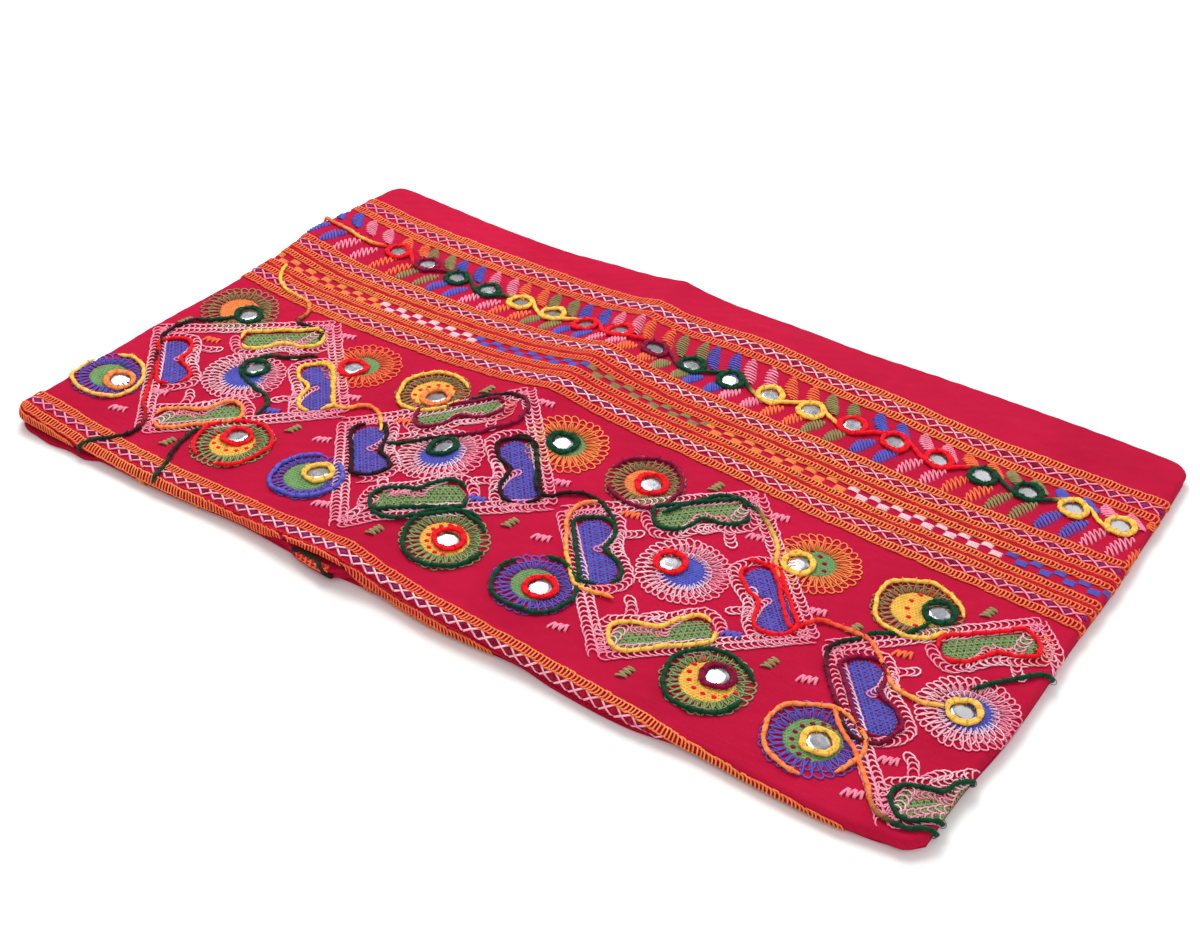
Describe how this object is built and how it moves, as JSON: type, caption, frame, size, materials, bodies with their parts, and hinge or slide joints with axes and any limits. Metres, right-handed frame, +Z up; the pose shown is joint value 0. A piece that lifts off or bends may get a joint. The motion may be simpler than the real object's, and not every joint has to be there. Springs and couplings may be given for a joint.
{
  "type": "folded embroidered dupatta",
  "caption": "Cotton dupatta folded into a flat rectangular packet, with embroidered borders, squares and rounds and sewn mirrors; lies on a table or shelf.",
  "frame": {"origin": "middle of the packet's footprint, on the surface that it lies on", "axes": "+X along the packet's length to its right end, +Y from its front edge to its back edge, +Z up"},
  "size_m": [0.7632, 0.462, 0.0314],
  "materials": {
    "crimson_cotton": "plain woven cotton, dense thread embroidery on the shown face",
    "inner_cotton": "plain woven cotton in the shade of the folds",
    "mirror_glass": "thin silvered glass, sewn down round its rim"
  },
  "bodies": {
    "root": {"top_layer": "crimson_cotton", "middle_fold": "crimson_cotton", "bottom_fold": "crimson_cotton", "hidden_layers": "inner_cotton", "mirror_01": "mirror_glass", "mirror_02": "mirror_glass", "mirror_03": "mirror_glass", "mirror_04": "mirror_glass", "mirror_05": "mirror_glass", "mirror_06": "mirror_glass", "mirror_07": "mirror_glass", "mirror_08": "mirror_glass", "mirror_09": "mirror_glass", "mirror_10": "mirror_glass", "mirror_11": "mirror_glass", "mirror_12": "mirror_glass", "mirror_13": "mirror_glass", "mirror_14": "mirror_glass", "mirror_15": "mirror_glass", "mirror_16": "mirror_glass", "mirror_17": "mirror_glass", "mirror_18": "mirror_glass", "mirror_19": "mirror_glass", "mirror_20": "mirror_glass", "mirror_21": "mirror_glass", "mirror_22": "mirror_glass", "mirror_23": "mirror_glass", "mirror_24": "mirror_glass", "mirror_25": "mirror_glass", "mirror_26": "mirror_glass", "mirror_27": "mirror_glass", "mirror_28": "mirror_glass", "mirror_29": "mirror_glass", "mirror_30": "mirror_glass", "mirror_31": "mirror_glass", "mirror_32": "mirror_glass", "mirror_33": "mirror_glass", "mirror_34": "mirror_glass", "mirror_35": "mirror_glass", "mirror_36": "mirror_glass", "mirror_37": "mirror_glass", "mirror_38": "mirror_glass"}
  },
  "joints": []
}
